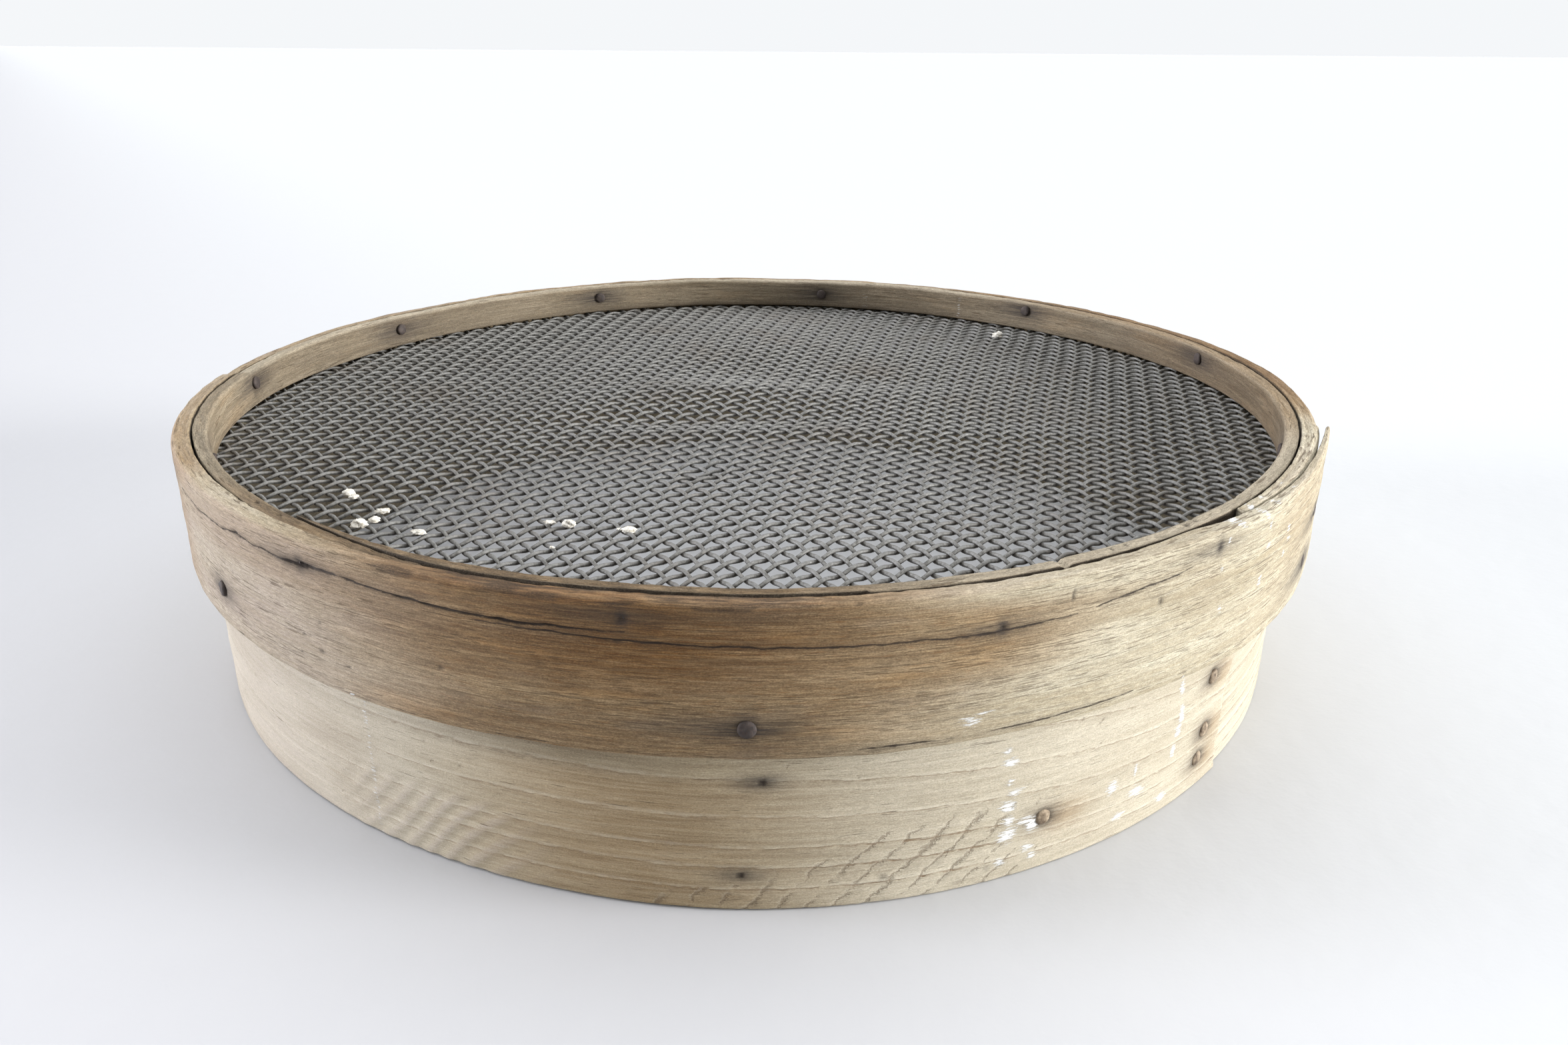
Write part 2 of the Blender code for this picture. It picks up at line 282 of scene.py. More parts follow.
class Nodes:
    """Short names for the shader nodes of a new material, or of a world."""

    def __init__(self, owner):
        self.owner = bpy.data.materials.new(owner) if isinstance(owner, str) else owner
        self.owner.use_nodes = True
        self.tree = self.owner.node_tree

    def node(self, kind, values=(), **settings):
        made = self.tree.nodes.new(kind)
        for name, value in settings.items():
            setattr(made, name, value)
        for key, value in dict(values).items():
            self.put(made.inputs[key], value)
        return made

    def put(self, socket, value):
        if isinstance(value, bpy.types.NodeSocket):
            self.tree.links.new(value, socket)
        else:
            socket.default_value = value

    def attribute(self, name, output="Fac"):
        return self.node("ShaderNodeAttribute", attribute_name=name).outputs[output]

    def math(self, operation, a, b=0.0, c=0.0, clamp=False):
        made = self.node("ShaderNodeMath", {0: a, 1: b, 2: c}, operation=operation, use_clamp=clamp)
        return made.outputs[0]

    def times(self, a, b, clamp=False):
        return self.math("MULTIPLY", a, b, clamp=clamp)

    def plus(self, a, b):
        return self.math("ADD", a, b)

    def weighted(self, *terms, start=0.0):
        """The sum of some (value, weight) pairs."""
        total = start
        for value, weight in terms:
            total = self.math("MULTIPLY_ADD", value, weight, total)
        return total

    def fade(self, value, low, high, to_low=0.0, to_high=1.0):
        """to_low where value is low, to_high where it is high, and a soft step between them."""
        made = self.node("ShaderNodeMapRange", {"Value": value, "From Min": low, "From Max": high,
                                                "To Min": to_low, "To Max": to_high},
                         interpolation_type="SMOOTHSTEP")
        return made.outputs[0]

    def swing(self, value, size):
        """A noise's value turned into a shift by up to size either way."""
        return self.fade(value, 0.2, 0.8, -size, size)

    def stretched(self, vector, scale, shift=(0.0, 0.0, 0.0)):
        return self.node("ShaderNodeVectorMath", {0: vector, 1: scale, 2: shift},
                         operation="MULTIPLY_ADD").outputs[0]

    def noise(self, vector, detail=2.0, roughness=0.5, distortion=0.0):
        made = self.node("ShaderNodeTexNoise", {"Vector": vector, "Scale": 1.0, "Detail": detail,
                                                "Roughness": roughness, "Distortion": distortion})
        return made.outputs["Fac"]

    def mix(self, share, a, b, blend="MIX"):
        made = self.node("ShaderNodeMix", data_type="RGBA", blend_type=blend)
        for socket, value in zip((made.inputs[0], made.inputs[6], made.inputs[7]), (share, a, b)):
            self.put(socket, (*value, 1.0) if isinstance(value, tuple) else value)
        return made.outputs[2]

    def ramp(self, value, stops):
        made = self.node("ShaderNodeValToRGB", {"Fac": value})
        elements = made.color_ramp.elements
        while len(elements) < len(stops):
            elements.new(0.5)
        for element, (place, colour) in zip(elements, stops):
            element.position = place
            element.color = (*colour, 1.0)
        return made.outputs["Color"]

    def nearest(self, value, places):
        """Distance from value to the nearest of some places."""
        nearest = None
        for place in places:
            distance = self.math("ABSOLUTE", self.math("SUBTRACT", value, place))
            nearest = self.math("MINIMUM", nearest, distance) if nearest else distance
        return nearest

    def finish(self, colour, roughness, height, bump_distance, **values):
        bump = self.node("ShaderNodeBump", {"Height": height, "Distance": bump_distance, "Strength": 1.0})
        values.update(Base_Color=colour, Roughness=roughness, Normal=bump.outputs["Normal"])
        for name, value in values.items():
            self.put(self.tree.nodes["Principled BSDF"].inputs[name.replace("_", " ")], value)
        return self.owner


# Colours that the wood's material lays over the clean wood
WARM_WOOD = (0.36, 0.205, 0.075)
RED_FIBRES = (0.20, 0.105, 0.040)
GREY_WOOD = (0.215, 0.185, 0.155)
# Multiplied where the brown mark is: browning where hands held the wood, and painted shade at the front
# middle of the drum and hoop and on the inner hoop's inner face at the right
HANDLED_AND_SHADE = (0.53, 0.325, 0.11)  # multiplied
PORES = (0.085, 0.052, 0.026)
LONG_LINES = (0.13, 0.085, 0.045)
# Under each growth line: partly darker latewood, partly painted shade; along its upper edge: a painted
# highlight
UNDER_RING = (0.14, 0.085, 0.045)
RING_HIGHLIGHT = (0.72, 0.67, 0.56)
RING_LINE = (0.17, 0.105, 0.055)
# A painted highlight beside each saw cut, and painted shade along its groove
CUT_HIGHLIGHT = (0.74, 0.69, 0.58)
CUT_LINE = (0.18, 0.12, 0.07)
IRON_STAIN = (0.040, 0.033, 0.030)
CRACK_INSIDE = (0.026, 0.017, 0.012)
# Real dirt, and painted shade where the dirt mark stands in for shade
DIRT_AND_SHADE = (0.030, 0.021, 0.015)
WHITE_PAINT = (0.76, 0.76, 0.75)


def wood(name, brown, pale, worn, seed, rings=(), pore_share=0.62, fibre_contrast=0.5, lines=0.0, warmth=0.0):
    """Bare weathered wood. The grain attribute is the place along, across and into the board, in metres.

    brown holds dark, middle and light, pale holds dark and light, and rings are the heights of growth lines.
    """
    n = Nodes(name)
    grain = n.attribute("grain", "Vector")
    shift = (seed * 7.3, seed * 3.1, seed * 1.7)

    def texture(scale, detail, roughness, place=shift):
        """Noise with about this many features per metre along, across and into the board."""
        return n.noise(n.stretched(grain, scale, place), detail, roughness)

    blotches = texture((16.0, 60.0, 60.0), 3.0, 0.6)
    patches = texture((22.0, 110.0, 110.0), 3.0, 0.6, (3.0, 8.0, seed))
    bands = texture((13.0, 480.0, 300.0), 3.0, 0.55)
    streaks = texture((75.0, 1500.0, 900.0), 3.0, 0.6)
    fibres = texture((480.0, 5200.0, 3000.0), 2.0, 0.6)
    fuzz = texture((1900.0, 4200.0, 3000.0), 2.0, 0.75)
    dashes = texture((170.0, 2400.0, 1200.0), 2.0, 0.6, (9.0, seed, 4.0))
    pores = texture((135.0, 3300.0, 1500.0), 1.0, 0.5, (4.0, seed, 9.0))
    chips = texture((210.0, 260.0, 260.0), 3.0, 0.65)
    smear = texture((240.0, 2400.0, 1500.0), 3.0, 0.7)
    wear, bleach = n.attribute("wear"), n.attribute("pale")

    # Colour of the clean wood, from brown to pale, with warmer and greyer patches
    tone = n.weighted((blotches, 0.5), (bands, 0.5), (streaks, 0.55), (fuzz, 0.5), start=-0.525)
    fresh = n.ramp(tone, list(zip((0.30, 0.50, 0.70), brown)))
    warm = n.fade(n.weighted((patches, 1.0), (streaks, 0.3), start=-0.15), 0.52, 0.72)
    fresh = n.mix(n.times(warm, warmth), fresh, WARM_WOOD)
    fresh = n.mix(n.fade(dashes, 0.54, 0.70, 0.0, 1.6 * warmth), fresh, RED_FIBRES)
    fresh = n.mix(n.times(n.fade(patches, 0.30, 0.50, 1.0, 0.0), 0.6 * warmth), fresh, GREY_WOOD)
    bleached = n.ramp(tone, list(zip((0.32, 0.66), pale)))
    colour = n.mix(bleach, fresh, bleached)
    colour = n.mix(n.times(wear, n.fade(streaks, 0.3, 0.7, 0.45, 1.0)), colour, worn)
    # Brown where hands held the wood, and painted shade in a few places
    browned_and_shaded = n.times(n.attribute("brown"), n.fade(streaks, 0.25, 0.75, 1.25, 0.75), clamp=True)
    colour = n.mix(browned_and_shaded, colour, HANDLED_AND_SHADE, "MULTIPLY")
    fibre_shade = n.fade(fibres, 0.25, 0.75, 1 - fibre_contrast * 0.5, 1 + fibre_contrast * 0.5)
    shade = n.times(fibre_shade, n.fade(fuzz, 0.2, 0.8, 0.86, 1.14))
    grey = n.node("ShaderNodeCombineColor", {0: shade, 1: shade, 2: shade}).outputs[0]
    colour = n.mix(1.0, colour, grey, "MULTIPLY")

    # Pores are short dark dashes, and a few long dark lines run along the board
    pore = n.times(n.fade(pores, pore_share, pore_share + 0.08), n.fade(bands, 0.38, 0.60))
    colour = n.mix(n.times(pore, 0.62), colour, PORES)
    contour = texture((7.0, 560.0, 0.0), 0.0, 0.5, (seed, 5.0, 2.0))
    contour = n.fade(n.math("ABSOLUTE", n.math("SUBTRACT", contour, 0.5)), 0.0, 0.05, lines, 0.0)
    contour = n.times(n.times(contour, n.fade(streaks, 0.36, 0.56)), n.fade(bleach, 0.0, 0.7, 1.0, 0.4))
    colour = n.mix(contour, colour, LONG_LINES)
    hollow = n.math("MAXIMUM", pore, contour)

    # Growth lines: each is a small step with a thin brown line; the pale band along its upper edge is a
    # painted highlight, and the brown band under it is partly darker latewood and partly painted shade
    if rings:
        level = n.plus(n.plus(n.attribute("level"), n.swing(streaks, 0.35)), n.swing(chips, 0.25))
        clear = n.times(n.fade(chips, 0.34, 0.60, 0.30, 1.0), n.fade(wear, 0.0, 0.5, 1.0, 0.2))
        # Partly darker latewood and partly painted shade under the step
        under = n.fade(n.nearest(n.plus(level, 0.8), rings), 0.0, 1.2, 0.14, 0.0)
        colour = n.mix(n.times(under, clear), colour, UNDER_RING)
        # Painted highlight along the step's upper edge
        edge = n.fade(n.nearest(n.plus(level, -0.6), rings), 0.0, 0.8, 0.20, 0.0)
        colour = n.mix(n.times(edge, clear), colour, RING_HIGHLIGHT)
        thin = n.times(n.fade(n.nearest(level, rings), 0.03, 0.32, 0.62, 0.0), clear)
        thin = n.times(thin, n.fade(n.attribute("sawn"), 0.0, 0.6, 0.75, 1.3))
        colour = n.mix(thin, colour, RING_LINE)
        hollow = n.math("MAXIMUM", hollow, thin)

        # Saw cuts across the grain, broken where the wood has chipped. Each has a painted highlight along one
        # side and painted shade along its groove
        cut = n.plus(n.attribute("cut"), n.plus(n.swing(fuzz, 0.09), n.swing(chips, 0.18)))
        there = n.fade(n.weighted((n.attribute("sawn"), 1.0), (chips, 2.4), start=-1.2), 0.25, 0.60)
        # Painted highlight along one side of each cut
        lit = n.fade(n.math("PINGPONG", n.plus(cut, 0.11), 0.5), 0.0, 0.09, 0.16, 0.0)
        colour = n.mix(n.times(lit, there), colour, CUT_HIGHLIGHT)
        # Painted shade along the groove of each cut
        sawn = n.times(n.fade(n.math("PINGPONG", cut, 0.5), 0.0, 0.10, 1.0, 0.0), there)
        colour = n.mix(n.times(sawn, 0.42), colour, CUT_LINE)
        hollow = n.math("MAXIMUM", hollow, sawn)

    # Blue-black stains round the iron, cracks and holes
    stain = n.times(n.attribute("stain"), n.fade(streaks, 0.25, 0.7, 1.25, 0.65), clamp=True)
    colour = n.mix(n.math("POWER", stain, 0.8), colour, IRON_STAIN)
    crack = n.fade(n.plus(n.attribute("crack"), n.swing(fibres, 0.12)), 0.0, 0.25, 1.0, 0.0)
    colour = n.mix(n.times(crack, 0.9), colour, CRACK_INSIDE)
    # Dirt, and in a few places painted shade
    dirt_and_shade = n.times(n.attribute("dirt_and_shade"), n.fade(fuzz, 0.2, 0.8, 1.2, 0.75), clamp=True)
    colour = n.mix(dirt_and_shade, colour, DIRT_AND_SHADE)

    # Specks and drips of white paint, smeared along the grain and rubbed away between its ridges
    painted = n.attribute("paint")
    paint = n.fade(n.weighted((painted, 1.0), (smear, 3.0), (fibres, 0.6), start=-1.80), 0.42, 0.80)
    paint = n.times(paint, n.fade(painted, 0.05, 0.30, 0.0, 0.88))
    colour = n.mix(paint, colour, WHITE_PAINT)

    height = n.weighted((fibres, 0.5), (fuzz, 0.35), (hollow, -0.8), (paint, 0.5))
    roughness = n.fade(streaks, 0.2, 0.8, 0.72, 0.92)
    return n.finish(colour, roughness, height, 0.18 * MM, Specular_IOR_Level=0.28)


def wire_steel():
    """Dull grey wire, paler on its crests, partly worn and partly a painted highlight, and dark brown where
    it dips under its neighbours, partly soil and partly painted shade.
    """
    n = Nodes("old_wire")
    place = n.node("ShaderNodeTexCoord").outputs["Object"]
    patches = n.noise(n.stretched(place, (30.0, 30.0, 90.0)), 3.0, 0.6)
    grit = n.noise(n.stretched(place, (1100.0, 1100.0, 1100.0)), 3.0, 0.65)
    greys = ((0.095, 0.090, 0.080), (0.175, 0.170, 0.158), (0.250, 0.246, 0.234))
    worn_and_highlit, dirt_and_crossing_shade, rusty = (0.275, 0.274, 0.266), (0.030, 0.022, 0.015), (0.12, 0.085, 0.055)
    colour = n.ramp(grit, list(zip((0.30, 0.50, 0.70), greys)))
    crest = n.attribute("crest")
    # Painted highlight on the crests, with some real wear
    colour = n.mix(n.fade(crest, 0.35, 1.0, 0.0, 0.35), colour, worn_and_highlit)
    # Painted shade where the wire dips under the crossing wires, with some real soil
    colour = n.mix(n.fade(crest, -0.95, -0.3, 0.78, 0.0), colour, dirt_and_crossing_shade)
    rust = n.fade(n.weighted((patches, 0.6), (grit, 0.5)), 0.54, 0.74)
    colour = n.mix(n.times(rust, 0.35), colour, rusty)
    return n.finish(colour, n.fade(grit, 0.3, 0.7, 0.75, 0.5), grit, 0.08 * MM, Metallic=0.2)


def nail_iron(name, *shades):
    """Iron with dark, middle and light patches, and grains of rust."""
    n = Nodes(name)
    place = n.node("ShaderNodeTexCoord").outputs["Object"]
    patches = n.noise(n.stretched(place, (420.0, 420.0, 420.0)), 3.0, 0.6)
    grit = n.noise(n.stretched(place, (3200.0, 3200.0, 3200.0)), 3.0, 0.7)
    rust = (0.15, 0.085, 0.05)
    colour = n.ramp(patches, list(zip((0.34, 0.52, 0.68), shades)))
    colour = n.mix(n.fade(grit, 0.45, 0.75, 0.0, 0.4), colour, rust)
    height = n.weighted((patches, 1.0), (grit, 0.6))
    return n.finish(colour, n.fade(grit, 0.3, 0.7, 0.6, 0.85), height, 0.15 * MM, Metallic=0.3)


def crumb_stuff():
    n = Nodes("dry_crumbs")
    place = n.node("ShaderNodeTexCoord").outputs["Object"]
    grit = n.noise(n.stretched(place, (1500.0, 1500.0, 1500.0)), 3.0, 0.6)
    colour = n.ramp(grit, [(0.3, (0.46, 0.40, 0.30)), (0.55, (0.84, 0.81, 0.74))])
    return n.finish(colour, 0.9, grit, 0.3 * MM)


DRUM_RINGS = (7.0, 13.7, 19.7, 29.0, 40.0, 52.0, 66.0)


def drum_wood():
    return wood("drum_wood", ((0.31, 0.245, 0.155), (0.40, 0.33, 0.215), (0.48, 0.405, 0.28)),
                ((0.41, 0.36, 0.27), (0.54, 0.49, 0.39)), (0.475, 0.415, 0.37), seed=1, rings=DRUM_RINGS,
                pore_share=0.68, fibre_contrast=0.26, lines=0.12)


def outer_hoop_wood():
    return wood("outer_hoop_wood", ((0.134, 0.083, 0.041), (0.250, 0.172, 0.092), (0.365, 0.268, 0.155)),
                ((0.34, 0.285, 0.190), (0.50, 0.455, 0.350)), (0.375, 0.305, 0.265), seed=2,
                pore_share=0.575, fibre_contrast=0.46, lines=0.42, warmth=0.42)


def inner_hoop_wood():
    return wood("inner_hoop_wood", ((0.10, 0.075, 0.045), (0.185, 0.145, 0.095), (0.27, 0.22, 0.15)),
                ((0.28, 0.24, 0.175), (0.44, 0.38, 0.29)), (0.38, 0.33, 0.28), seed=3,
                pore_share=0.62, fibre_contrast=0.50, lines=0.3, warmth=0.15)


# ---------------------------------------------------------------- wooden pieces

def nail_places(prefix):
    """Name, outermost point and innermost point of each nail whose name starts with prefix."""
    places = []
    for name in sorted(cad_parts):
        if name.startswith(prefix):
            points = np.array([v.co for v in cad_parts[name].data.vertices])
            radius = np.hypot(points[:, 0], points[:, 1])
            places.append((name, points[radius.argmax()], points[radius.argmin()]))
    return places


def azimuth_of(point):
    return math.degrees(math.atan2(point[1], point[0]))


def seat(surface, places, end, sink, width):
    """Dent and darken a face round the nails' outermost (end 1) or innermost (end 2) points, one by one."""
    facing = surface.outermost if end == 1 else np.clip(-surface.out, 0, 1) * (surface.turn < 360)
    for place in places:
        point = place[end]
        hole = surface.spot(azimuth_of(point), point[2], width, width, width) * facing
        surface.push -= sink * hole
        surface.mark("dirt_and_shade", np.clip(1.6 * hole - 0.35, 0, 1))
        yield azimuth_of(point), point[2]


def make_drum():
    band = measure_band("drum", start=-95, lap=52, tip=1.0 * MM)
    hidden = 51 / (band["z"][1] / MM)
    outer = np.concatenate([np.linspace(0, hidden, 84), np.linspace(hidden, 1, 7)[1:]])
    rows = section(outer, top=4, inner=24, bottom=6, corner=3)
    turns = columns(band, -160, -20, 0.27, 0.85)

    def top(azimuth, turn):
        return CLOTH_TOP - 4 * WIRE_R - band["z"][1]

    def bottom(azimuth, turn):
        return 0.35 * MM * (1 + noise(azimuth / 9, 0, 5)) * smooth(np.abs(azimuth + 60), 0, 30)

    s = Surface(band, turns, rows, (0.5 * MM, 0.5 * MM, 0.7 * MM), top, bottom)
    out = s.outermost
    azimuth, z = s.azimuth, s.height

    # Growth rings run nearly level at the left and slope down to the right; each ends in a small step
    fan = np.interp(azimuth, *zip(*DRUM_FAN))
    level = z / fan / MM + 0.5 * rough(s.along / 0.06, 0, 11)
    s.marks["level"] = level
    lines = np.array(DRUM_RINGS)
    below = np.take(lines, np.clip(np.searchsorted(lines, level), 0, len(lines) - 1))
    step = np.clip((below - level) / 8, 0, 1)
    s.push += out * 0.24 * MM * (1 - step) * s.above(1, 4)

    # Saw cuts on the lower half, rising to the right, and the wood chipped between them. They are deepest
    # below a growth line at the right, and only broad ripples at the left
    slope = math.radians(45)
    across = (s.along * math.sin(slope) - z * math.cos(slope)) / MM
    number = across / SAW_PITCH + 0.35 * noise(s.along / 0.025, z / 0.014, 21)
    s.marks["cut"] = number
    reach = np.interp(azimuth, *zip(*SAW_REACH))
    zone = between(azimuth, -101, -94, -74, -67) * (1 - smooth(level, reach - 3, reach + 1))
    zone = zone * (0.75 + 0.35 * rough(s.along / 0.012, z / 0.007, 23, 2)) * out
    s.marks["sawn"] = np.clip(zone, 0, 1)
    offset = (number - np.round(number)) * SAW_PITCH
    s.push -= np.clip(zone, 0, 1) * 0.16 * MM * bell(offset, 0, 0.6)
    chipped = zone * (1 - s.above(8, 16))
    s.push -= chipped * 0.22 * MM * np.clip(rough(s.along / 0.005, z / 0.003, 27), 0, 1)
    s.mark("dirt_and_shade", 0.38 * chipped * smooth(rough(s.along / 0.004, z / 0.0025, 29), 0.45, 1.1))
    ripples = between(azimuth, -130, -122, -113, -104) * (1 - s.above(19, 26)) * out
    wave = np.cos(2 * math.pi * number)
    s.push += ripples * 0.12 * MM * wave
    s.mark("wear", 0.5 * ripples * smooth(wave, -0.2, 0.9))

    s.push += 0.10 * MM * rough(s.along / 0.03, z / 0.006, 31)
    s.push += 0.05 * MM * rough(s.along / 0.008, z / 0.001, 35)
    for at, height in seat(s, nail_places("drum_lap_nail"), 1, 0.35 * MM, 3.0):
        s.mark("stain", s.spot(at, height, 5.5, 5, 3.2) * 0.8 * out)
        s.mark("brown", s.spot(at + 2, height - 1 * MM, 9, 8, 5.0) * 0.45 * out)
    for at, height in seat(s, nail_places("drum_end_nail"), 1, 0.3 * MM, 1.1):
        s.mark("stain", s.spot(at, height, 6, 5, 2.0) * 0.8 * out)
        s.mark("stain", s.spot(at, height, 2.2, 2.2, 1.6) * out)

    # White paint: a column of drips at each side of the lap, and a chalky line at the left
    for at, height, wide, tall in DRUM_PAINT:
        s.mark("paint", s.spot(at, height * MM, 1.2 * wide, 1.2 * wide, 1.3 * tall) * out)
    s.mark("paint", s.spot(-122.6, 22 * MM, 0.9, 0.9, 30) * 0.52 * out)
    s.mark("pale", out * (0.1 + 0.9 * smooth(azimuth, -96, -78)) + 0.3 * (1 - out))
    s.mark("dirt_and_shade", 0.45 * np.clip(-s.out, 0, 1) * (s.turn < 360))
    s.mark("pale", out * smooth(-azimuth, 100, 122))
    left = 1 - smooth(-azimuth, 160, 180)
    s.mark("wear", out * smooth(-azimuth, 112, 140) * left * 0.55)
    mottled = np.clip(0.35 + rough(s.along / 0.035, z / 0.012, 45), 0, 1) * smooth(-azimuth, 106, 124) * left
    s.mark("dirt_and_shade", 0.07 * out * mottled)
    s.mark("brown", 0.08 * out * mottled)
    # Painted shade: browner at the front middle, less so near the top
    s.mark("brown", 0.42 * bell(azimuth, -99, 13) * out * (1 - 0.7 * smooth(level, 38, 42)))
    # Painted shadow: darker just under the outer hoop's lower edge, at the front left
    s.mark("dirt_and_shade", 0.26 * s.above(34, 46) * out * between(azimuth, -124, -112, -104, -92))
    s.ragged_end(1.2, 41)
    piece = s.build("drum_visual", drum_wood())
    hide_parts("drum")


SAW_PITCH = 5.6  # millimetres between saw cuts

# Along the drum's azimuths: how far up its growth lines have sloped down, as a share of their height at the
# left, and the level that the saw cuts reach
DRUM_FAN = ((-105, 1), (-90, 0.985), (-76, 0.93), (-67, 0.868), (-55, 0.775), (-45, 0.73))
SAW_REACH = ((-98, 7.0), (-88, 12.0), (-80, 24.0), (-70, 28.0))

# Azimuth, height, half width and half height of each speck of paint on the drum, in degrees and millimetres
DRUM_PAINT = (
    (-70.8, 40.0, 1.2, 1.0), (-70.5, 36.6, 2.0, 1.2), (-70.4, 30.6, 1.0, 0.8), (-69.8, 27.2, 2.0, 0.9),
    (-70.3, 23.1, 2.2, 1.6), (-70.2, 18.2, 1.6, 1.4), (-70.2, 13.8, 2.6, 1.8), (-68.7, 17.0, 2.6, 0.8),
    (-68.0, 15.2, 1.8, 1.8), (-70.7, 5.6, 1.4, 0.9), (-68.3, 8.1, 1.6, 0.9), (-67.8, 5.0, 1.2, 0.8),
    (-59.8, 17.5, 1.8, 1.8), (-57.2, 20.0, 0.8, 2.0), (-56.8, 12.6, 2.6, 1.6), (-58.7, 6.9, 2.2, 0.9),
    (-53.1, 5.6, 2.6, 1.2), (-52.1, 40.0, 1.2, 2.0), (-51.6, 30.5, 1.2, 3.0), (-51.8, 26.2, 1.4, 1.6),
    (-52.2, 19.4, 1.0, 1.8),
)


def make_outer_hoop():
    band = measure_band("outer_hoop", start=-47, lap=28, tip=1.6 * MM, sprung=1.5 * MM)
    tall = (band["z"][1] - band["z"][0]) / MM
    outer = [0.0]
    for height, rows in ((3.6, 15), (28, 41), (36.5, 34), (tall, 3)):  # closest together where the cracks are
        outer += np.linspace(outer[-1], height / tall, rows + 1)[1:].tolist()
    rows = section(outer, top=7, inner=10, bottom=5, corner=5)
    turns = columns(band, -158, -14, 0.26, 0.9)

    def top(azimuth, turn):
        wave = 0.35 * MM * (noise(azimuth / 14, 0, 51) - 1) + 0.12 * MM * (noise(azimuth / 2, 0, 52) - 1)
        return wave - 0.5 * MM * smooth(azimuth, 30, 60)

    def bottom(azimuth, turn):
        return 0.25 * MM * (1 + rough(azimuth / 6, 0, 53))

    s = Surface(band, turns, rows, (1.9 * MM, 0.6 * MM, 0.7 * MM), top, bottom)
    out = s.outermost
    azimuth, z = s.azimuth, s.height

    s.push += out * MM * (0.16 * noise(s.along / 0.25, z / 0.0021, 61) - 0.3)
    s.push += 0.10 * MM * rough(s.along / 0.035, z / 0.004, 63)
    s.push += 0.07 * MM * rough(s.along / 0.009, z / 0.0009, 67)
    crown = s.up > 0.3
    s.push -= crown * 0.25 * MM * np.clip(rough(s.along / 0.004, s.depth / 0.0012, 71), 0, 1)

    for line in HOOP_CRACKS:
        add_crack(s, *line)

    # Where nails go in and come out
    for at, height in seat(s, nail_places("hoop_nail"), 1, 0.15 * MM, 2.6):
        left, right, strength = (19, 14, 1) if at > -100 else (7, 8, 0.55)
        s.mark("stain", s.spot(at, height, left, right, 3.4) * 0.80 * out)
        s.mark("stain", s.spot(at, height, 5.0, 4.5, 4.2) * strength * out)
    for at, height in seat(s, nail_places("rim_nail"), 1, 0.35 * MM, 1.0):
        s.mark("stain", s.spot(at, height, 14, 9, 2.2) * 0.50 * out)
        s.mark("stain", s.spot(at, height, 2.6, 2.2, 2.4) * out)
    for at, height, wide, high in HOOP_PITS:
        pit = s.spot(at, height * MM, wide, wide, high) * out
        s.push -= 0.3 * MM * pit
        s.mark("dirt_and_shade", 0.75 * np.clip(1.4 * pit - 0.2, 0, 1))
    for at, height, wide, high in HOOP_PAINT:
        s.mark("paint", s.spot(at, height * MM, wide, wide, high) * 0.8 * np.clip(out + crown, 0, 1))

    # The bleached part starts farther to the right near the top, and the top is brown where hands held it.
    # The front middle is darker with painted shade, which on the upper part of the face is partly browner
    # wood too
    lean = s.above(52, 78) * (1 - 0.75 * s.above(82, 88))
    spread = np.where(azimuth < -97, 14, 11)
    # Partly browner wood and partly painted shade on the upper front middle, and painted shade on the whole
    # front middle below
    s.mark("brown", 0.75 * bell(azimuth, -97, spread) * out * s.above(60, 74))
    s.mark("brown", 0.15 * bell(azimuth, -95, 9) * out)
    s.mark("brown", 0.38 * (1 - smooth(azimuth, -152, -144)) * smooth(azimuth, -175, -165) * out)
    left = 1 - smooth(-azimuth, 160, 180)
    s.mark("brown", 0.24 * out * left * s.above(70, 80) * (1 - smooth(azimuth, -108, -96)))
    s.mark("brown", 0.55 * crown * between(azimuth, -22, -12, 30, 60))
    pale = smooth(azimuth, -92 + 16 * lean, -68 + 11 * lean) * (1 - 0.8 * smooth(azimuth, -22, 0))
    pale = np.maximum(pale, smooth(-azimuth, 108, 134) * (0.2 + 0.6 * left))
    s.mark("pale", pale + 0.15 * noise(s.along / 0.03, z / 0.012, 75))
    s.mark("wear", smooth(-azimuth, 106, 134) * left * 0.8 * out
           * (0.75 + 0.25 * noise(s.along / 0.02, z / 0.008, 79)))
    s.mark("wear", 0.35 * smooth(s.up, 0.5, 1.0) * (0.6 + 0.4 * noise(s.along / 0.02, 0, 77)))
    s.mark("dirt_and_shade", 0.8 * smooth(-s.out, 0.75, 1.0) * s.above(80, 84))
    s.mark("dirt_and_shade", 0.25 * s.above(82, 86) * out * between(-azimuth, 82, 92, 106, 124))
    beside_strip = between(azimuth, -126, -116, -62, -54)
    closer = (0.9 - 0.75 * beside_strip) * s.above(77, 80) * (1 - smooth(s.turn, 350, 359))
    s.push += closer * MM * smooth(-s.out, 0.3, 0.9)
    front = between(azimuth, -128, -112, -92, -78)
    s.mark("brown", 0.60 * crown * front)
    s.mark("dirt_and_shade", 0.70 * crown * front * smooth(rough(s.along / 0.010, s.depth / 0.0008, 83), -0.2, 0.6))
    s.mark("brown", 0.50 * left * np.clip(out + crown, 0, 1) * s.above(80, 86)
           * (1 - smooth(azimuth, -150, -138)))
    s.mark("brown", 0.16 * out * between(azimuth, -47, -39, -10, 10) * s.above(58, 68))
    s.ragged_end(0.8, 81)
    piece = s.build("outer_hoop_visual", outer_hoop_wood())
    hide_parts("outer_hoop")


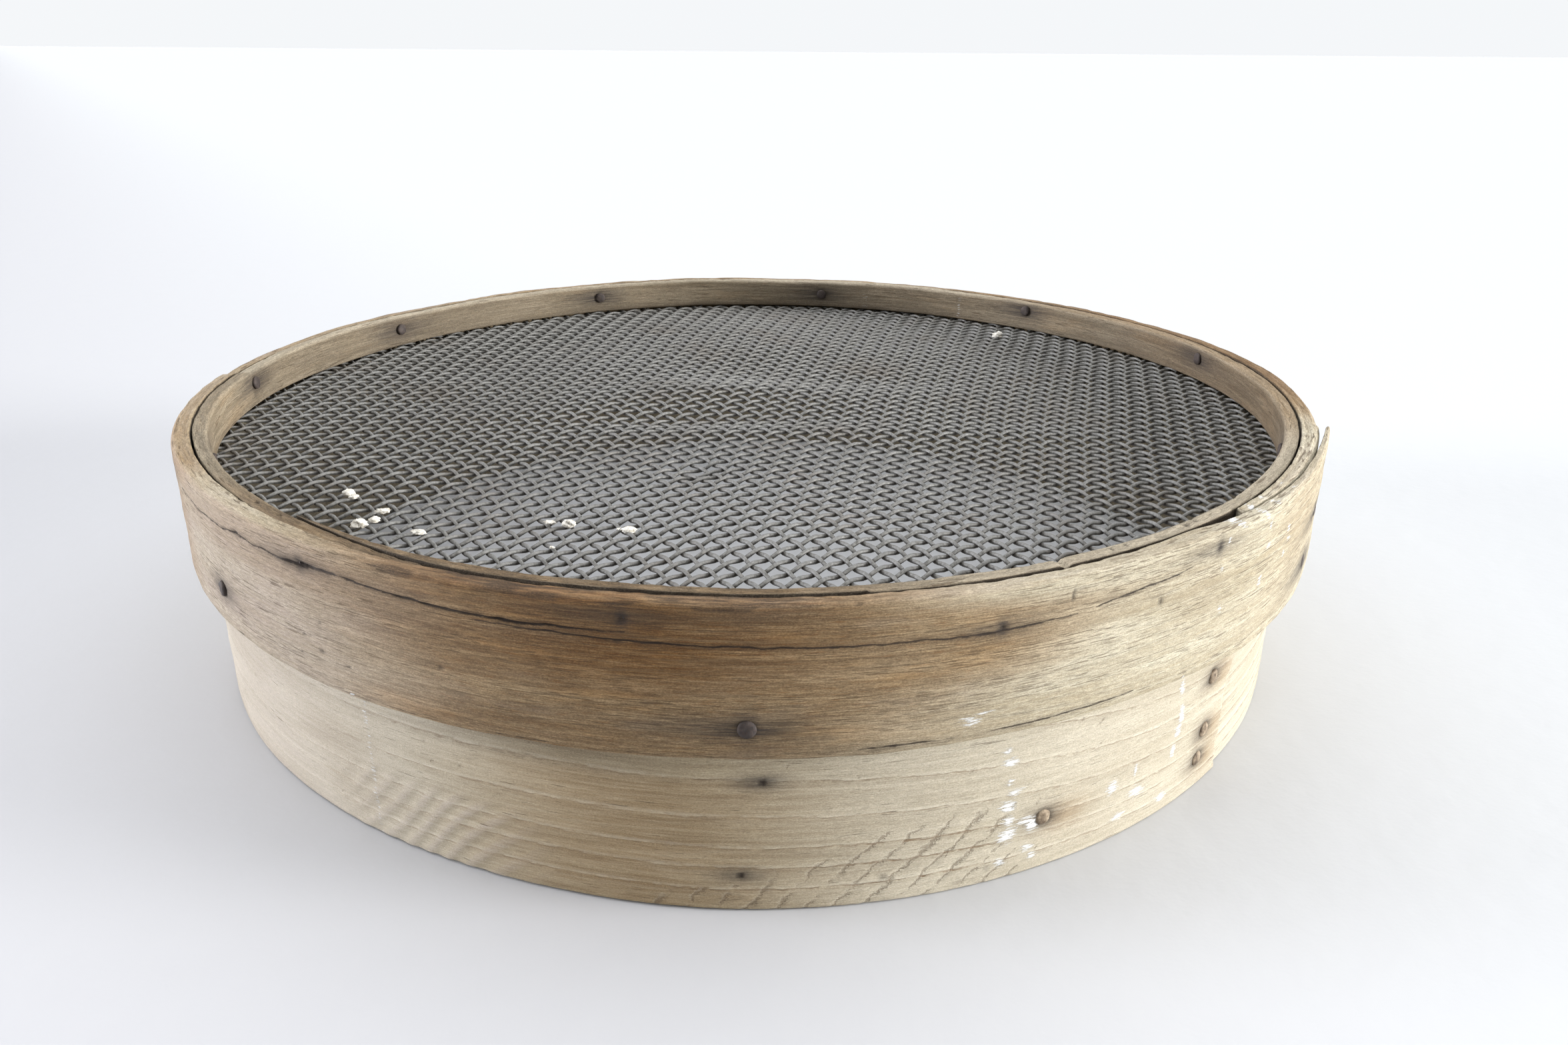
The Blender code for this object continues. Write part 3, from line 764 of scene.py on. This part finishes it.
def add_crack(s, path, widths, depth, lip):
    """A crack along the grain. path and widths are (azimuth, millimetres) pairs; lip lifts its upper side."""
    centre = through(s.azimuth, path) + 0.25 * MM * rough(s.along / 0.006, 0, 91)
    width = np.interp(s.azimuth, *zip(*widths))
    width = width * (0.85 + 0.25 * rough(s.along / 0.004, 0, 95))
    here = s.outermost * (width > 0.02)
    distance = (s.height - centre) / MM
    groove = bell(distance, 0, np.maximum(0.5 * width + 0.12, 0.2))
    s.push -= here * depth * MM * np.clip(width / 0.8, 0, 1) * groove
    s.push += here * lip * MM * np.clip(width, 0, 1) * between(distance, 0.0, 0.5, 2, 6)
    edge = np.where(here > 0.1, np.abs(distance) - 0.5 * width, FAR)
    s.marks["crack"] = np.minimum(s.marks["crack"], edge)
    s.mark("dirt_and_shade", here * 0.5 * bell(distance, 0, 0.6 + 0.8 * width) * np.clip(width * 2, 0, 1))


# Each crack: its line, its width in millimetres along that line, its depth, and how far its upper lip stands
# out
HOOP_CRACKS = (
    (((-150, 82.0), (-147, 82.0), (-137.8, 81.6), (-134.6, 82.6), (-127.8, 82.2), (-125.3, 82.5),
      (-121, 83.2), (-117, 82.6), (-112, 81.6), (-106, 81.3), (-98, 81.6)),
     ((-149, 0), (-146, 0.25), (-136, 0.2), (-134.5, 0.6), (-133, 0.2), (-128, 0.3), (-125.5, 1.2),
      (-123.5, 0.6), (-121, 0.3), (-117, 0.4), (-112, 0.6), (-106, 0.5), (-103, 0.3), (-98, 0)), 1.4, 0.35),
    (((-112, 80.4), (-106, 80.1), (-99, 79.5), (-85, 78.1), (-73, 78.0), (-66.6, 78.8)),
     ((-110, 0), (-105, 0.18), (-99, 0.3), (-90, 0.28), (-80, 0.2), (-74, 0.4), (-70, 0.25),
      (-66.4, 0)), 1.0, 0.2),
    (((-66, 79.2), (-64, 80.0), (-60, 81.3), (-56, 82.2)),
     ((-65.6, 0), (-64.5, 0.3), (-60, 0.35), (-55, 0)), 0.9, 0.1),
    (((-98, 49.6), (-91, 49.8), (-85, 49.9), (-78, 50.5), (-70, 50.9), (-62, 51.6)),
     ((-98, 0.1), (-94, 0.22), (-86, 0.25), (-82.5, 0.35), (-81.2, 0.8), (-80, 0.4), (-74, 0.3),
      (-66, 0.25), (-60, 0)), 0.8, 0.1),
)

# Azimuth, height, half width and half height, in degrees and millimetres
HOOP_PITS = (
    (-126.2, 62.0, 0.9, 0.5), (-124.2, 59.0, 1.2, 0.7), (-124.0, 67.6, 0.7, 0.5), (-126.8, 56.2, 0.6, 0.4),
    (-121.4, 57.3, 0.8, 0.5), (-112.4, 65.0, 1.0, 0.7), (-98.5, 85.3, 1.0, 0.5),
    (-83.2, 89.0, 0.9, 0.5), (-59.0, 75.6, 0.9, 1.4), (-67.5, 84.0, 0.4, 2.0),
)
HOOP_PAINT = (
    (-74.9, 54.4, 2.8, 2.0), (-73.8, 56.4, 2.0, 0.5), (-51.6, 85.9, 0.8, 0.5), (-45.0, 78.3, 1.6, 0.8),
    (-45.8, 88.3, 1.6, 1.4), (-45.2, 85.0, 1.2, 2.0), (-45.5, 68.0, 1.2, 2.2), (-51.5, 66.0, 0.8, 1.2),
    (-40.5, 79.0, 1.4, 1.2), (-40.3, 75.5, 1.6, 1.0), (-41.0, 71.0, 1.0, 1.6), (-52.0, 78.3, 0.8, 0.6),
    (-49.5, 89.0, 1.6, 1.0), (-43.0, 89.6, 2.2, 1.2), (-121.5, 49.0, 0.8, 0.8), (-55.0, 49.0, 0.9, 0.9),
    (-50.0, 90.0, 2.0, 1.5), (-38.5, 90.0, 1.8, 1.0),
)


# On the inner hoop: azimuths of two runs of paint, and azimuth and half width of each pit in its top edge
PAINT_RUNS = (71.9, 56.1)
RIM_PITS = ((-53.2, 1.2), (-52.0, 0.7), (-62.0, 0.5), (-60.5, 0.4), (-131, 1.0), (-135, 0.8))


def make_inner_hoop():
    band = measure_band("inner_hoop", start=-130, lap=48, tip=1.0 * MM)
    band["strip"] = 1.9 * MM
    rows = section(np.linspace(0, 1, 8), top=10, inner=30, bottom=5, corner=5)
    turns = columns(band, -140, -40, 0.25, 0.55)

    def top(azimuth, turn):
        recess = 2.2 * MM * smooth(turn, 368, 384) * (1 + 0.25 * noise(azimuth / 1.2, 0, 101))
        notch = 1.1 * MM * bell(azimuth, -66.9, 0.35) * (turn < 360)
        wave = 0.3 * MM * (noise(azimuth / 11, 0, 102) - 1)
        return wave - recess - notch

    s = Surface(band, turns, rows, (0.5 * MM, 1.4 * MM, 0.6 * MM), top)
    azimuth, z = s.azimuth, s.height
    s.push += 0.14 * MM * rough(s.along / 0.03, z / 0.003, 111)
    s.push += 0.06 * MM * rough(s.along / 0.009, z / 0.0009, 115)
    crown = np.clip(s.up, 0, 1)
    s.push -= crown * 0.35 * MM * np.clip(rough(s.along / 0.003, s.depth / 0.0009, 121), 0, 1)
    s.push -= 0.38 * MM * (1 - smooth(s.turn, 0, 5))
    strip = smooth(s.turn, 364, 380)
    s.push -= strip * crown * 0.5 * MM * np.abs(rough(s.along / 0.004, s.depth / 0.0007, 125))
    s.mark("dirt_and_shade", strip * 0.75 * crown)
    inside = np.clip(-s.out, 0, 1)
    for at, height in seat(s, nail_places("rim_nail"), 2, 0.3 * MM, 3.0):
        s.mark("stain", s.spot(at, height, 12, 14, 4.2) * 0.8 * inside)
    for at in PAINT_RUNS:
        s.mark("paint", s.spot(at, 82 * MM, 0.9, 0.9, 9) * 0.55 * inside)
    for at, width in RIM_PITS:
        pit = crown * bell(s.across(at) / MM, 0, width) * bell(s.depth / MM, 0, 0.7)
        s.push -= 0.5 * MM * pit
        s.mark("dirt_and_shade", 0.8 * pit)
    s.mark("pale", 0.15 + crown * (0.2 + 0.55 * smooth(azimuth, -88, -60)) + 0 * z)
    s.mark("dirt_and_shade", 0.85 * smooth(s.out, 0.75, 1.0))
    s.mark("brown", 0.5 * crown * between(azimuth, -30, -15, 30, 60))
    front = between(azimuth, -150, -125, -90, -74)
    s.mark("brown", 0.55 * crown * front)
    s.mark("dirt_and_shade", 0.40 * crown * front * smooth(rough(s.along / 0.006, s.depth / 0.0012, 129), -0.5, 0.6))
    # Painted shade: browner inner face at the right
    s.mark("brown", 0.3 * inside * between(azimuth, -30, -10, 14, 34))
    s.mark("dirt_and_shade", 0.4 * inside * (1 - s.above(76, 80)))
    # Painted shade: the inner face is darker at the left and right sides
    side = between(np.abs(azimuth - 80), 35, 60, 95, 120)
    s.mark("dirt_and_shade", 0.42 * inside * side * (0.8 + 0.2 * noise(s.along / 0.02, z / 0.006, 127)))
    piece = s.build("inner_hoop_visual", inner_hoop_wood())
    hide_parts("inner_hoop")


# ---------------------------------------------------------------- wire cloth

def tubes(name, paths, tones, radius, sides, material):
    """One mesh of closed tubes, each along its own path of points, with a tone noted at each point."""
    ring = np.radians(np.arange(sides) * 360 / sides)
    points, faces, first = [], [], 0
    for path in paths:
        tangent = np.gradient(path, axis=0)
        tangent /= np.linalg.norm(tangent, axis=1)[:, None]
        sideways = np.cross(tangent, (0, 0, 1))
        sideways /= np.linalg.norm(sideways, axis=1)[:, None]
        normal = np.cross(sideways, tangent)
        circle = sideways[:, None] * np.cos(ring)[:, None] + normal[:, None] * np.sin(ring)[:, None]
        points.append((path[:, None] + radius * circle).reshape(-1, 3))
        index = first + np.arange(len(path) * sides).reshape(-1, sides)
        ahead = np.roll(index, -1, axis=1)
        faces += np.stack([index[:-1], ahead[:-1], ahead[1:], index[1:]], axis=-1).reshape(-1, 4).tolist()
        faces += [index[0][::-1].tolist(), index[-1].tolist()]
        first += len(path) * sides
    piece = add_mesh(name, np.concatenate(points), faces, material)
    add_attribute(piece, "crest", "FLOAT", "value", np.repeat(np.concatenate(tones), sides))
    return piece


def swollen(x, y):
    """Height of the cloth, in millimetres, which years of soil have pushed out like a low hill."""
    away_x, away_y = x - HILL_TOP[0], y - HILL_TOP[1]
    away = np.maximum(np.hypot(away_x, away_y), 1e-6)
    towards = (HILL_TOP[0] * away_x + HILL_TOP[1] * away_y) / away
    to_rim = np.sqrt(towards ** 2 + HILL_R ** 2 - HILL_TOP[0] ** 2 - HILL_TOP[1] ** 2) - towards
    return HILL_HEIGHT * (1 - np.minimum(away / to_rim, 1) ** 1.6)


def dented(points):
    """The flat cloth, pushed out of shape by years of use."""
    x, y = points[:, 0] / MM, points[:, 1] / MM
    radius = np.hypot(x, y)
    hold = 1 - smooth(radius, 176, 190)
    height = swollen(x, y) + 0.5 * (1 - smooth(radius, 120, 188)) * rough(x / 60, y / 48, 131, 2)
    for at_x, at_y, wide, deep, tall in DENTS:
        height = height + tall * np.exp(-((x - at_x) / wide) ** 2 - ((y - at_y) / deep) ** 2)
    height = height + RAISED_SIDE * smooth(x, -70, 30) * (1 - smooth(y, -150, -40))
    shift_x = 0.8 * noise(x / 38, y / 38, 133) * hold
    shift_y = 0.8 * noise(x / 38, y / 38, 134) * hold
    apart_x, apart_y = x - TORN[0], y - TORN[1]
    apart = 0.5 * np.exp(-np.hypot(apart_x, apart_y) ** 2 / 5.5 ** 2)
    moved = np.stack([x + shift_x + apart * apart_x, y + shift_y + apart * apart_y,
                      points[:, 2] / MM + height * hold], axis=-1)
    return moved * MM


def out_of_square(flat):
    """The weave is drawn askew: towards the right its falling wires lean more and more."""
    x, y = flat[:, 0] / MM, flat[:, 1] / MM
    lean = np.clip(0.075 + 0.0007 * x, 0, 0.16)
    return np.column_stack([x + lean * (y + 20), y]) * MM


# The hill in the cloth, how much higher the front right is, the dents (middle, half sizes and height) and the
# place of an opened cell, in millimetres
HILL_TOP = (20, -42)
HILL_R = 187
HILL_HEIGHT = 5.0
RAISED_SIDE = 4.5
DENTS = ((-12, 9, 36, 15, 2.0), (-24, -28, 42, 10, -1.3), (10, -46, 70, 9, 0.6), (110, -44, 55, 10, 0.7),
         (45, 25, 40, 12, -0.8), (-90, -20, 40, 16, 0.6), (-18, -82, 8, 6, -1.2))
TORN = (-18, -84)


def make_wire_mesh():
    steel = wire_steel()
    along = [np.array([math.cos(math.radians(a)), math.sin(math.radians(a))]) for a in WIRE_DIRECTIONS]
    pitch = WIRE_PITCH / math.sin(math.radians(WIRE_DIRECTIONS[0] - WIRE_DIRECTIONS[1]))
    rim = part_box("wire_mesh")[1].x - 0.5 * MM
    spare = 8  # cells past the rim, for what out_of_square moves inwards
    reach = int(rim / pitch) + spare
    for set_number, name in enumerate(("wires_rising", "wires_falling")):
        own, other = along[set_number], along[1 - set_number]
        paths, crests = [], []
        for line in range(-reach, reach + 1):
            places = np.arange(-rim - spare * pitch, rim + spare * pitch, pitch / 4)
            flat = out_of_square(places[:, None] * own + line * pitch * other)
            inside = np.hypot(flat[:, 0], flat[:, 1]) < rim
            if inside.sum() < 6:
                continue
            crimp = CRIMPS[set_number] * np.cos(math.pi * (places / pitch + line))
            path = np.column_stack([flat, CLOTH_TOP - 2 * WIRE_R + crimp])[inside]
            paths.append(dented(path))
            crests.append(crimp[inside] / abs(CRIMPS[set_number]))
        piece = tubes(name, paths, crests, WIRE_R, 6, steel)
        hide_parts("wire_mesh")


def make_crumbs():
    """Pale crumbs of dried soil and plaster that have stayed on the cloth."""
    stuff = crumb_stuff()
    ball = bmesh.new()
    bmesh.ops.create_icosphere(ball, subdivisions=3, radius=1.0)
    ball.verts.index_update()
    unit = [tuple(vertex.co) for vertex in ball.verts]
    faces = [[vertex.index for vertex in face.verts] for face in ball.faces]
    ball.free()
    for number, (x, y, size) in enumerate(CRUMBS, start=1):
        base = CLOTH_TOP + (swollen(np.array([x]), np.array([y]))[0] + 0.4 * size) * MM
        flat = 0.45 + 0.2 * math.sin(number * 1.7)
        points = []
        for a, b, c in unit:
            lump = 1 + 0.48 * float(rough(a * 1.6 + 2.5 * c, b * 1.6 - c, 200 + number, 3))
            points.append((x * MM + a * lump * size * MM, y * MM + b * lump * 0.75 * size * MM,
                           base + c * lump * flat * size * MM))
        add_mesh(f"crumb_{number:02d}", points, faces, stuff)


# Place on the cloth and half length of each crumb, in millimetres
CRUMBS = ((-123.5, -97.3, 1.8), (-121.0, -101.0, 1.4), (-108.6, -113.4, 2.2), (-112.8, -122.3, 2.4),
          (-109.5, -119.0, 1.3), (-94.2, -129.4, 2.0), (-58.0, -124.5, 1.5), (-52.5, -125.7, 1.6),
          (-35.0, -131.5, 1.9), (-37.5, -129.5, 1.0), (-55.0, -140.5, 0.8), (116.4, 113.8, 2.0))


# ---------------------------------------------------------------- nails

HEAD_PROFILE = ((0.0, 0.0), (0.25, 0.01), (0.5, 0.05), (0.72, 0.14), (0.88, 0.28), (0.98, 0.5), (1.0, 0.75),
                (0.96, 1.0))  # radius and depth as shares of the head's


def make_nail(name, iron, seed):
    """A hand-made nail in its CAD node's place: a hammered head, a shank and a point, bent where that is."""
    points = np.array([v.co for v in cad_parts[name].data.vertices])
    from_inside = name.startswith(("rim_nail", "drum_end_nail"))
    radius = np.hypot(points[:, 0], points[:, 1])
    middle = points.mean(axis=0)
    ends = (radius.argmin(), radius.argmax())
    apex = points[ends[0] if from_inside else ends[1]]
    sign = 1 if from_inside else -1
    into = sign * np.array([apex[0], apex[1], 0]) / math.hypot(apex[0], apex[1])
    up = np.array([0.0, 0.0, 1.0])
    level = np.cross(up, into)
    depths = (points - apex) @ into
    sideways = (points - apex) - depths[:, None] * into
    head_r = np.linalg.norm(sideways[depths < 1.2 * MM], axis=1).max()
    shank_r = 0.9 * MM
    length = depths.max()
    clinched = not from_inside
    bend_r, clinch = 1.5 * MM, 5.5 * MM
    at_sprung_end = name.startswith("hoop_nail") and -36 < azimuth_of(apex) < -15
    sunk = (1.3 if at_sprung_end else 0.7) * MM if clinched else 0.0
    hidden_tip = 1.2 * MM  # the point stays this far below the surface, in its dark hole
    straight = length - (sunk + bend_r + shank_r if clinched else hidden_tip)
    rings = [(share * head_r, depth * 1.25 * MM) for share, depth in HEAD_PROFILE]
    rings += [(shank_r * 1.05, 1.3 * MM)]
    body = straight + (bend_r * math.pi / 2 + clinch - 1.5 * MM if clinched else 0)
    rings += [(shank_r * (1 - 0.05 * k), 1.3 * MM + (body - 1.3 * MM) * k / 10) for k in range(1, 9)]
    rings += [(shank_r * 0.45, body - 0.15 * MM), (shank_r * 0.12, body)]
    sides = 28
    angle = np.radians(np.arange(sides) * 360 / sides)
    r = np.array([ring[0] for ring in rings])[:, None]
    d = np.array([ring[1] for ring in rings])[:, None] + 0 * angle[None, :]
    is_head = np.array([i < len(HEAD_PROFILE) for i in range(len(rings))])[:, None]
    lumpy = 1 + 0.07 * is_head * noise(angle[None, :] / 0.9 + seed, 0, 140 + seed) * (r / head_r)
    square = 1 + 0.10 * (1 - is_head) * np.cos(4 * angle)[None, :]
    a, b = r * lumpy * square * np.cos(angle)[None, :], r * lumpy * square * np.sin(angle)[None, :]
    d = d + is_head * 0.10 * MM * rough(a / (1.1 * MM) + seed, b / (1.1 * MM), 150 + seed, 2) * (d > 0)
    tilt = 0.10 * MM * math.sin(seed * 2.3)
    d = np.maximum(d + is_head * tilt * a / head_r, 0)
    if clinched:
        past = np.clip(d - straight, 0, None)
        turn = np.minimum(past / bend_r, math.pi / 2)
        run = np.clip(past - bend_r * math.pi / 2, 0, None)
        way = sideways[np.linalg.norm(sideways, axis=1).argmax()]
        way = 1.0 if way @ level > 0 else -1.0
        bent_a = way * (bend_r * (1 - np.cos(turn)) + run) + a * np.cos(turn)
        bent_d = straight + bend_r * np.sin(turn) - way * a * np.sin(turn)
        a, d = np.where(past > 0, bent_a, a), np.where(past > 0, bent_d, d)
        d = np.minimum(d, length - sunk)
    skin = apex + a[..., None] * level + b[..., None] * up + (d[..., None] + sunk) * into
    index = np.arange(skin.shape[0] * sides).reshape(-1, sides)
    ahead = np.roll(index, -1, axis=1)
    quads = np.stack([index[1:-1], ahead[1:-1], ahead[2:], index[2:]], axis=-1).reshape(-1, 4)
    fan = [[0, int(p), int(q)] for p, q in zip(index[1], ahead[1])]
    flat = skin.reshape(-1, 3)
    used = np.concatenate([[0], np.arange(sides, len(flat))])
    number = np.zeros(len(flat), int)
    number[used] = np.arange(len(used))
    faces = [[int(number[v]) for v in face] for face in quads.tolist() + fan + [index[-1].tolist()]]
    piece = add_mesh(name + "_visual", flat[used], faces, iron)
    repair_normals(piece)
    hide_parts(name)


def repair_normals(piece):
    """Turn all the faces outwards."""
    shape = bmesh.new()
    shape.from_mesh(piece.data)
    bmesh.ops.recalc_face_normals(shape, faces=shape.faces)
    shape.to_mesh(piece.data)
    shape.free()


def make_nails():
    dark = nail_iron("dark_iron", (0.027, 0.022, 0.020), (0.046, 0.036, 0.033), (0.072, 0.057, 0.050))
    dusty = nail_iron("dusty_iron", (0.10, 0.070, 0.045), (0.26, 0.20, 0.135), (0.38, 0.31, 0.22))
    names = [name for name in sorted(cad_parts) if "_nail_" in name]
    for seed, name in enumerate(names):
        make_nail(name, dusty if name.startswith("drum_lap_nail") else dark, seed)


# ---------------------------------------------------------------- surroundings

def make_floor():
    mesh = bpy.data.meshes.new("floor")
    size = 30.0
    corners = [(-size, -size, 0), (size, -size, 0), (size, size, 0), (-size, size, 0)]
    mesh.from_pydata(corners, [], [(0, 1, 2, 3)])
    n = Nodes("pale_floor")
    place = n.node("ShaderNodeTexCoord").outputs["Object"]
    fine = n.noise(n.stretched(place, (60.0, 60.0, 60.0)), 4.0, 0.6)
    # Painted light: the floor is darker towards the front left and lighter towards the right and back
    across = n.node("ShaderNodeVectorMath", {0: place, 1: (1.0, 0.6, 0.0)}, operation="DOT_PRODUCT")
    tone = n.fade(n.math("MULTIPLY_ADD", fine, 0.04, across.outputs["Value"]), -0.5, 0.35)
    colour = n.ramp(tone, [(0.0, (0.51, 0.51, 0.535)), (1.0, (0.62, 0.63, 0.645))])
    mesh.materials.append(n.finish(colour, 0.6, fine, 0.3 * MM))
    floor = put_in_scene("floor", mesh)


def add_window(name, azimuth, elevation, width, strength, colour):
    """Light from one side of the room, as soft as from a window that is width degrees wide."""
    light = bpy.data.lights.new(name, "SUN")
    light.angle = math.radians(width)
    light.energy = strength
    light.color = colour
    lamp = put_in_scene(name, light)
    a, e = math.radians(azimuth), math.radians(elevation)
    towards = Vector((math.cos(e) * math.cos(a), math.cos(e) * math.sin(a), math.sin(e)))
    lamp.rotation_euler = (-towards).to_track_quat("-Z", "Y").to_euler()


# Name, azimuth, elevation, width, strength and colour of each broad light
WINDOWS = (("overhead", 90, 82, 105, 2.9, (0.97, 0.985, 1.0)),
           ("window_right", -7, 5, 22, 7.8, (1.0, 0.995, 0.98)),
           ("window_left", 175, 5, 22, 5.2, (0.96, 0.97, 1.03)))


def make_lights():
    """A white room that is brightest overhead, with a window at each side."""
    world = bpy.data.worlds.new("studio")
    bpy.context.scene.world = world
    n = Nodes(world)
    direction = n.node("ShaderNodeTexCoord").outputs["Generated"]
    height = n.node("ShaderNodeSeparateXYZ", {0: direction}).outputs["Z"]
    glow = n.fade(height, 0.1, 0.9, 0.13, 0.46)
    seen = n.node("ShaderNodeLightPath").outputs["Is Camera Ray"]
    strength = n.node("ShaderNodeMix", {0: seen, 2: glow, 3: 0.95}).outputs[0]
    background = n.tree.nodes["Background"]
    n.put(background.inputs["Color"], (0.96, 0.98, 1.0, 1.0))
    n.put(background.inputs["Strength"], strength)
    for window in WINDOWS:
        add_window(*window)
    bpy.context.scene.view_settings.view_transform = "Standard"


CAMERA_PLACE = (0.0, -0.43760, 0.20594)
CAMERA_TURN = (("Z", -1.5868), ("X", 67.849), ("Z", 0.43848))  # heading, tilt up from straight down, and roll
FOCAL_LENGTH = 27.084
FRAME_WIDTH = 36.0


def make_camera():
    data = bpy.data.cameras.new("camera")
    data.lens = FOCAL_LENGTH
    data.sensor_width = FRAME_WIDTH
    data.clip_start = 10 * MM
    camera = put_in_scene("camera", data)
    pose = Matrix.Translation(CAMERA_PLACE)
    for axis, angle in CAMERA_TURN:
        pose = pose @ Matrix.Rotation(math.radians(angle), 4, axis)
    camera.matrix_world = pose
    bpy.context.scene.camera = camera


make_camera()
make_lights()
make_floor()
make_drum()
make_outer_hoop()
make_inner_hoop()
make_wire_mesh()
make_crumbs()
make_nails()
